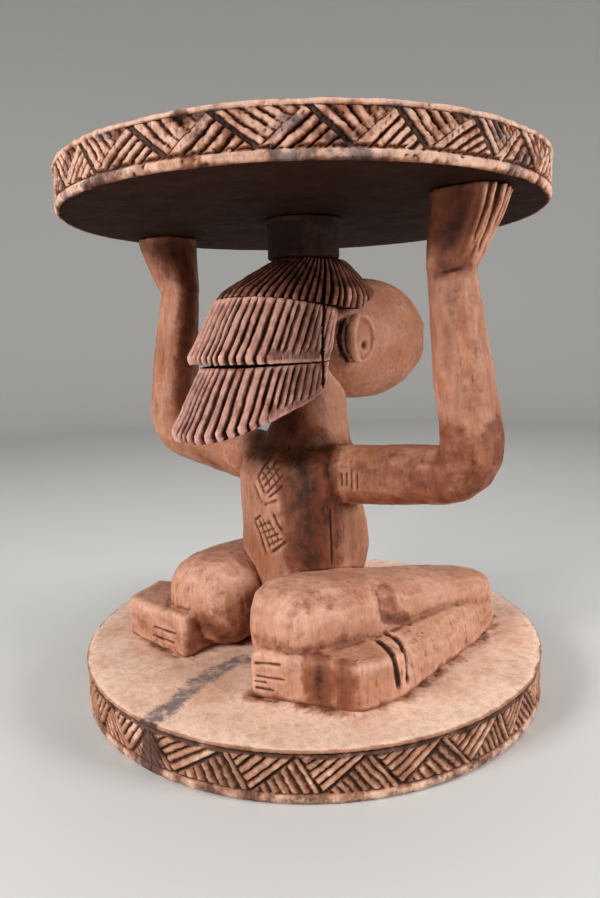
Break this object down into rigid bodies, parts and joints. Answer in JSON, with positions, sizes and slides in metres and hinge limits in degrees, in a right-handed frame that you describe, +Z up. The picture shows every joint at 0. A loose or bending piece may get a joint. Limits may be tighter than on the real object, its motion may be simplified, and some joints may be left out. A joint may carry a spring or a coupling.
{
  "type": "carved wooden stool",
  "caption": "Round wooden stool carried by a kneeling carved figure that raises both arms to the seat, over a round base.",
  "frame": {"origin": "middle of the base's underside, on the floor", "axes": "+Z up, the figure faces -Y, and its left side is towards +X"},
  "size_m": [0.344, 0.344, 0.3704],
  "materials": {
    "seat_wood": "dark oiled hardwood with worn pale edges",
    "base_wood": "worn pale hardwood",
    "body_wood": "rubbed warm brown hardwood with a soft sheen",
    "leg_wood": "dry pale hardwood with adze facets",
    "hair_wood": "grey-brown fluted hardwood"
  },
  "bodies": {
    "root": {"seat": "seat_wood", "base": "base_wood", "head_pad": "hair_wood", "torso": "body_wood", "neck": "body_wood", "head": "body_wood", "ear_left": "body_wood", "ear_right": "body_wood", "hair_cap": "hair_wood", "hair_middle_tier": "hair_wood", "hair_lower_tier": "hair_wood", "upper_arm_left": "body_wood", "upper_arm_right": "body_wood", "forearm_left": "body_wood", "forearm_right": "body_wood", "hand_left": "body_wood", "hand_right": "body_wood", "thigh_left": "leg_wood", "thigh_right": "leg_wood", "lower_leg_left": "leg_wood", "lower_leg_right": "leg_wood", "foot_left": "leg_wood", "foot_right": "leg_wood"}
  },
  "joints": []
}
